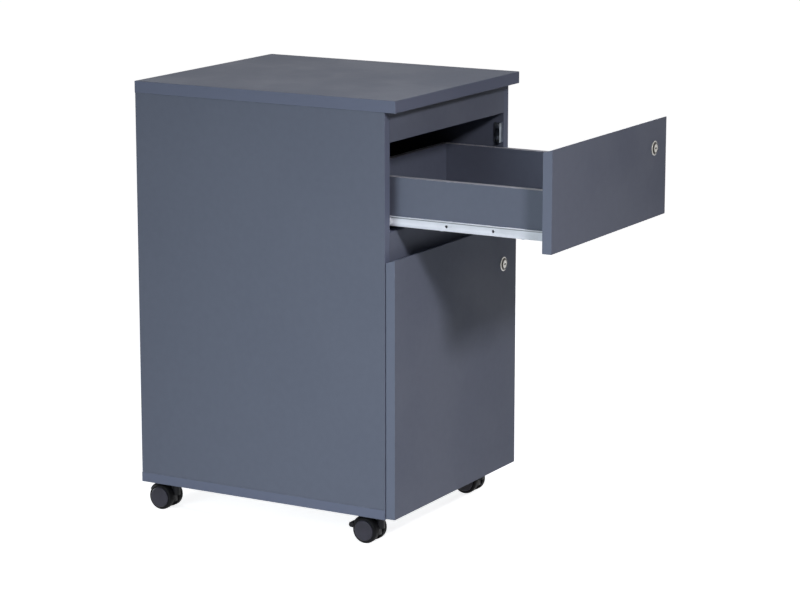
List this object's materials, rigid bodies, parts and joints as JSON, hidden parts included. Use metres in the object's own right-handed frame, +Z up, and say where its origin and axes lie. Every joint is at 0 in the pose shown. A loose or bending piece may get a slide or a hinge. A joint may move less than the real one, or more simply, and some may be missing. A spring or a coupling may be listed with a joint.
{
  "type": "mobile drawer unit",
  "caption": "Graphite board pedestal on twin-wheel castors with a shallow drawer over a deep drawer, each on roller runners with a cam lock and a finger gap above its front.",
  "frame": {"origin": "on the floor under the middle of the carcass, between its side panels and its front and back edges", "axes": "+X to the right as one faces the drawers, +Y to the back, +Z up"},
  "size_m": [0.382, 0.6991, 0.665],
  "materials": {
    "graphite_board": "matt graphite melamine facing with matching edge band",
    "faced_hardboard": "matt graphite lacquered hardboard",
    "beech_dowel": "plain beech",
    "zinc_steel": "zinc plated",
    "white_coated_steel": "white powder coat",
    "roller_nylon": "moulded",
    "nickel_lock": "satin nickel plate",
    "castor_wheel": "moulded black",
    "castor_housing": "moulded black"
  },
  "bodies": {
    "carcass": {"top_board": "graphite_board", "bottom_board": "graphite_board", "side_panel_left": "graphite_board", "side_panel_right": "graphite_board", "back_panel": "faced_hardboard", "top_rail": "graphite_board", "divider_rail": "graphite_board", "carcass_dowels": "beech_dowel", "carcass_cam_bolts": "zinc_steel", "carcass_cam_discs": "zinc_steel", "panel_screws": "zinc_steel", "cabinet_runners": "white_coated_steel", "strike_brackets": "zinc_steel", "castor_plates": "zinc_steel"},
    "upper_drawer": {"upper_drawer_front": "graphite_board", "upper_drawer_side_left": "graphite_board", "upper_drawer_side_right": "graphite_board", "upper_drawer_back": "graphite_board", "upper_drawer_bottom": "faced_hardboard", "upper_drawer_dowels": "beech_dowel", "upper_drawer_runners": "white_coated_steel", "upper_drawer_screws": "zinc_steel", "upper_lock_body": "nickel_lock", "upper_lock_nut": "zinc_steel"},
    "upper_lock": {"upper_lock_plug": "nickel_lock", "upper_lock_cam": "zinc_steel"},
    "upper_rear_rollers": {"upper_drawer_rollers": "roller_nylon"},
    "upper_front_rollers": {"upper_cabinet_rollers": "roller_nylon"},
    "lower_drawer": {"lower_drawer_front": "graphite_board", "lower_drawer_side_left": "graphite_board", "lower_drawer_side_right": "graphite_board", "lower_drawer_back": "graphite_board", "lower_drawer_bottom": "faced_hardboard", "lower_drawer_dowels": "beech_dowel", "lower_drawer_runners": "white_coated_steel", "lower_drawer_screws": "zinc_steel", "lower_lock_body": "nickel_lock", "lower_lock_nut": "zinc_steel"},
    "lower_lock": {"lower_lock_plug": "nickel_lock", "lower_lock_cam": "zinc_steel"},
    "lower_rear_rollers": {"lower_drawer_rollers": "roller_nylon"},
    "lower_front_rollers": {"lower_cabinet_rollers": "roller_nylon"},
    "castor_front_left": {"castor_front_left_housing": "castor_housing", "castor_front_left_axle": "zinc_steel"},
    "castor_front_left_left_wheel": {"castor_front_left_wheel_left": "castor_wheel"},
    "castor_front_left_right_wheel": {"castor_front_left_wheel_right": "castor_wheel"},
    "castor_front_left_brake": {"castor_front_left_brake_lever": "castor_housing"},
    "castor_front_right": {"castor_front_right_housing": "castor_housing", "castor_front_right_axle": "zinc_steel"},
    "castor_front_right_left_wheel": {"castor_front_right_wheel_left": "castor_wheel"},
    "castor_front_right_right_wheel": {"castor_front_right_wheel_right": "castor_wheel"},
    "castor_front_right_brake": {"castor_front_right_brake_lever": "castor_housing"},
    "castor_rear_left": {"castor_rear_left_housing": "castor_housing", "castor_rear_left_axle": "zinc_steel"},
    "castor_rear_left_left_wheel": {"castor_rear_left_wheel_left": "castor_wheel"},
    "castor_rear_left_right_wheel": {"castor_rear_left_wheel_right": "castor_wheel"},
    "castor_rear_right": {"castor_rear_right_housing": "castor_housing", "castor_rear_right_axle": "zinc_steel"},
    "castor_rear_right_left_wheel": {"castor_rear_right_wheel_left": "castor_wheel"},
    "castor_rear_right_right_wheel": {"castor_rear_right_wheel_right": "castor_wheel"}
  },
  "joints": [
    {"name": "upper_drawer_slide", "type": "slide", "parent": "carcass", "child": "upper_drawer", "axis": [0, -1, 0], "range_m": [-0.25, 0]},
    {"name": "upper_lock_turn", "type": "hinge", "parent": "upper_drawer", "child": "upper_lock", "pos_m": [0.147, -0.466, 0.5715], "axis": [0, 1, 0], "range_deg": [0, 90]},
    {"name": "upper_rear_rollers_spin", "type": "hinge", "parent": "upper_drawer", "child": "upper_rear_rollers", "pos_m": [0, -0.128, 0.48525], "axis": [1, 0, 0], "continuous": true},
    {"name": "upper_front_rollers_spin", "type": "hinge", "parent": "carcass", "child": "upper_front_rollers", "pos_m": [0, -0.208, 0.48695], "axis": [1, 0, 0], "continuous": true},
    {"name": "lower_drawer_slide", "type": "slide", "parent": "carcass", "child": "lower_drawer", "axis": [0, -1, 0], "range_m": [0, 0.25]},
    {"name": "lower_lock_turn", "type": "hinge", "parent": "lower_drawer", "child": "lower_lock", "pos_m": [0.147, -0.216, 0.3725], "axis": [0, 1, 0], "range_deg": [0, 90]},
    {"name": "lower_rear_rollers_spin", "type": "hinge", "parent": "lower_drawer", "child": "lower_rear_rollers", "pos_m": [0, 0.122, 0.08225], "axis": [1, 0, 0], "continuous": true},
    {"name": "lower_front_rollers_spin", "type": "hinge", "parent": "carcass", "child": "lower_front_rollers", "pos_m": [0, -0.208, 0.08395], "axis": [1, 0, 0], "continuous": true},
    {"name": "castor_front_left_swivel", "type": "hinge", "parent": "carcass", "child": "castor_front_left", "pos_m": [-0.155, -0.187, 0.04], "axis": [0, 0, 1], "continuous": true},
    {"name": "castor_front_left_left_wheel_spin", "type": "hinge", "parent": "castor_front_left", "child": "castor_front_left_left_wheel", "pos_m": [-0.155, -0.169, 0.02], "axis": [1, 0, 0], "continuous": true},
    {"name": "castor_front_left_right_wheel_spin", "type": "hinge", "parent": "castor_front_left", "child": "castor_front_left_right_wheel", "pos_m": [-0.155, -0.169, 0.02], "axis": [1, 0, 0], "continuous": true},
    {"name": "castor_front_left_brake_press", "type": "hinge", "parent": "castor_front_left", "child": "castor_front_left_brake", "pos_m": [-0.155, -0.169, 0.02], "axis": [-1, 0, 0], "range_deg": [0, 18]},
    {"name": "castor_front_right_swivel", "type": "hinge", "parent": "carcass", "child": "castor_front_right", "pos_m": [0.155, -0.187, 0.04], "axis": [0, 0, 1], "continuous": true},
    {"name": "castor_front_right_left_wheel_spin", "type": "hinge", "parent": "castor_front_right", "child": "castor_front_right_left_wheel", "pos_m": [0.155, -0.169, 0.02], "axis": [1, 0, 0], "continuous": true},
    {"name": "castor_front_right_right_wheel_spin", "type": "hinge", "parent": "castor_front_right", "child": "castor_front_right_right_wheel", "pos_m": [0.155, -0.169, 0.02], "axis": [1, 0, 0], "continuous": true},
    {"name": "castor_front_right_brake_press", "type": "hinge", "parent": "castor_front_right", "child": "castor_front_right_brake", "pos_m": [0.155, -0.169, 0.02], "axis": [-1, 0, 0], "range_deg": [0, 18]},
    {"name": "castor_rear_left_swivel", "type": "hinge", "parent": "carcass", "child": "castor_rear_left", "pos_m": [-0.155, 0.177, 0.04], "axis": [0, 0, 1], "continuous": true},
    {"name": "castor_rear_left_left_wheel_spin", "type": "hinge", "parent": "castor_rear_left", "child": "castor_rear_left_left_wheel", "pos_m": [-0.155, 0.195, 0.02], "axis": [1, 0, 0], "continuous": true},
    {"name": "castor_rear_left_right_wheel_spin", "type": "hinge", "parent": "castor_rear_left", "child": "castor_rear_left_right_wheel", "pos_m": [-0.155, 0.195, 0.02], "axis": [1, 0, 0], "continuous": true},
    {"name": "castor_rear_right_swivel", "type": "hinge", "parent": "carcass", "child": "castor_rear_right", "pos_m": [0.155, 0.177, 0.04], "axis": [0, 0, 1], "continuous": true},
    {"name": "castor_rear_right_left_wheel_spin", "type": "hinge", "parent": "castor_rear_right", "child": "castor_rear_right_left_wheel", "pos_m": [0.155, 0.195, 0.02], "axis": [1, 0, 0], "continuous": true},
    {"name": "castor_rear_right_right_wheel_spin", "type": "hinge", "parent": "castor_rear_right", "child": "castor_rear_right_right_wheel", "pos_m": [0.155, 0.195, 0.02], "axis": [1, 0, 0], "continuous": true}
  ],
  "couplings": [
    {"joint": "upper_rear_rollers_spin", "follows": "upper_drawer_slide", "rad_per_m": 100},
    {"joint": "upper_front_rollers_spin", "follows": "upper_drawer_slide", "rad_per_m": 166.67},
    {"joint": "lower_rear_rollers_spin", "follows": "lower_drawer_slide", "rad_per_m": 100},
    {"joint": "lower_front_rollers_spin", "follows": "lower_drawer_slide", "rad_per_m": 166.67}
  ]
}
